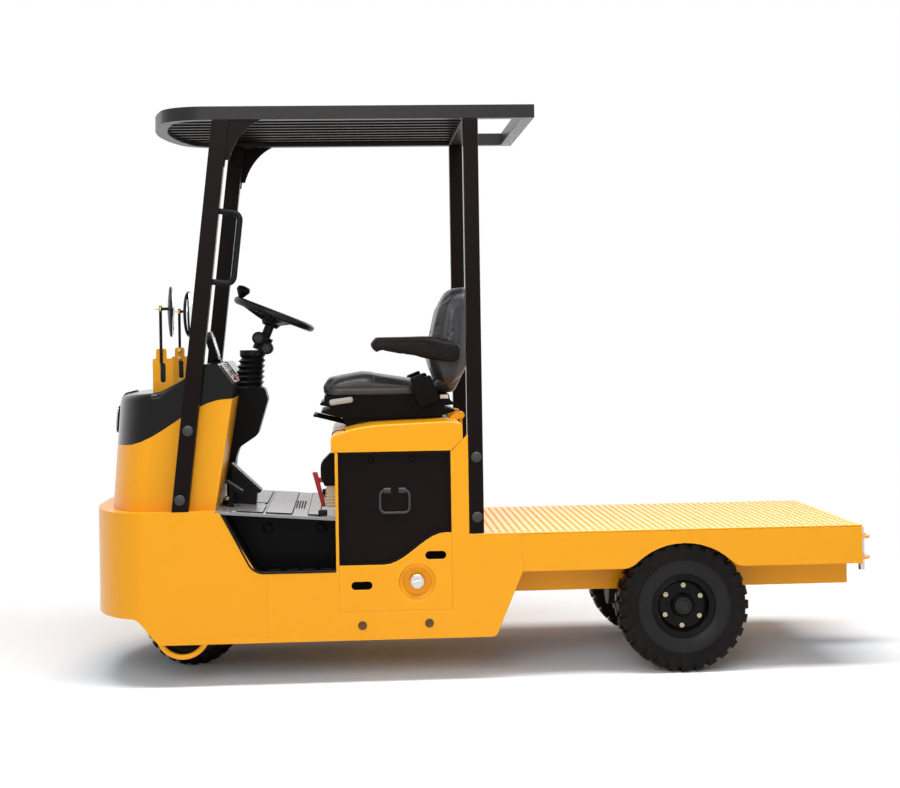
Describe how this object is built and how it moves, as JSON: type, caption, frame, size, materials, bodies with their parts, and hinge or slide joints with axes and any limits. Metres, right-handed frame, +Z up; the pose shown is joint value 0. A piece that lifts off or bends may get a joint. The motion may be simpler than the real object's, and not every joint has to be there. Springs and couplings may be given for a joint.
{
  "type": "electric three-wheel platform tow tractor",
  "caption": "Yellow ride-on electric tow tractor with a steered front wheel, overhead guard, seat on a hinged battery hood, flat load deck and rear pin coupler.",
  "frame": {"origin": "on the floor below the middle of the machine's box", "axes": "+X forward, +Y to the driver's left, +Z up"},
  "size_m": [3.315, 1.1, 2.313],
  "materials": {
    "yellow_paint": "gloss",
    "dark_paint": "satin",
    "black_plastic": "satin",
    "black_rubber": "matte",
    "tyre_rubber": "matte",
    "seat_vinyl": "satin",
    "bright_steel": "satin",
    "cast_metal": "matte",
    "battery_case": "satin",
    "red_plastic": "gloss"
  },
  "bodies": {
    "chassis": {"nose_shell": "yellow_paint", "frame_side_left": "yellow_paint", "frame_side_right": "yellow_paint", "steer_crossmember": "dark_paint", "deck_rail_left": "yellow_paint", "deck_rail_right": "yellow_paint", "deck_skirt_left": "yellow_paint", "deck_skirt_right": "yellow_paint", "deck_plate": "yellow_paint", "deck_front_beam": "yellow_paint", "deck_end_plate": "yellow_paint", "rear_axle": "cast_metal", "tow_coupler": "yellow_paint", "tow_pin": "bright_steel", "step_well_left": "black_plastic", "step_well_right": "black_plastic", "floor_mat": "black_rubber", "battery_box": "yellow_paint", "battery": "battery_case", "lower_panel_left": "yellow_paint", "lower_panel_right": "yellow_paint", "side_panel_left": "black_plastic", "side_panel_right": "black_plastic", "tie_loop_left": "yellow_paint", "tie_loop_right": "yellow_paint", "front_cowl": "yellow_paint", "dash_cover": "black_plastic", "front_lamp": "black_plastic", "display_pod": "black_plastic", "mirror_brackets": "yellow_paint", "mirrors": "black_plastic", "post_front_left": "dark_paint", "post_front_right": "dark_paint", "post_rear_left": "dark_paint", "post_rear_right": "dark_paint", "roof_frame": "dark_paint", "roof_sheet": "dark_paint", "assist_grip": "black_rubber", "steering_column": "black_plastic", "column_bellows": "black_rubber", "pedals": "black_rubber", "battery_connector": "red_plastic"},
    "seat_hood": {"hood": "yellow_paint", "seat_base": "black_plastic", "seat_cushion": "seat_vinyl", "seat_backrest": "seat_vinyl", "armrests": "seat_vinyl"},
    "hand_wheel": {"steering_wheel": "black_plastic"},
    "steering_fork": {"steer_fork": "dark_paint"},
    "front_wheel": {"front_rim": "dark_paint", "front_tyre": "tyre_rubber"},
    "rear_wheel_left": {"rear_rim_left": "dark_paint", "rear_tyre_left": "tyre_rubber"},
    "rear_wheel_right": {"rear_rim_right": "dark_paint", "rear_tyre_right": "tyre_rubber"}
  },
  "joints": [
    {"name": "front_steer", "type": "hinge", "parent": "chassis", "child": "steering_fork", "pos_m": [1.2825, 0, 0.55], "axis": [0, 0, 1], "range_deg": [-75, 75]},
    {"name": "front_wheel_spin", "type": "hinge", "parent": "steering_fork", "child": "front_wheel", "pos_m": [1.2825, 0, 0.2075], "axis": [0, 1, 0], "continuous": true},
    {"name": "rear_left_spin", "type": "hinge", "parent": "chassis", "child": "rear_wheel_left", "pos_m": [-0.7375, 0.456, 0.27], "axis": [0, 1, 0], "continuous": true},
    {"name": "rear_right_spin", "type": "hinge", "parent": "chassis", "child": "rear_wheel_right", "pos_m": [-0.7375, -0.456, 0.27], "axis": [0, 1, 0], "continuous": true},
    {"name": "hand_wheel_turn", "type": "hinge", "parent": "chassis", "child": "hand_wheel", "pos_m": [0.9375, 0, 1.455], "axis": [-0.3746, 0, 0.9272], "range_deg": [-540, 540]},
    {"name": "hood_hinge", "type": "hinge", "parent": "chassis", "child": "seat_hood", "pos_m": [0.1405, 0, 1.05], "axis": [0, -1, 0], "range_deg": [0, 60]}
  ],
  "couplings": [
    {"joint": "hand_wheel_turn", "follows": "front_steer", "ratio": 7.2}
  ]
}
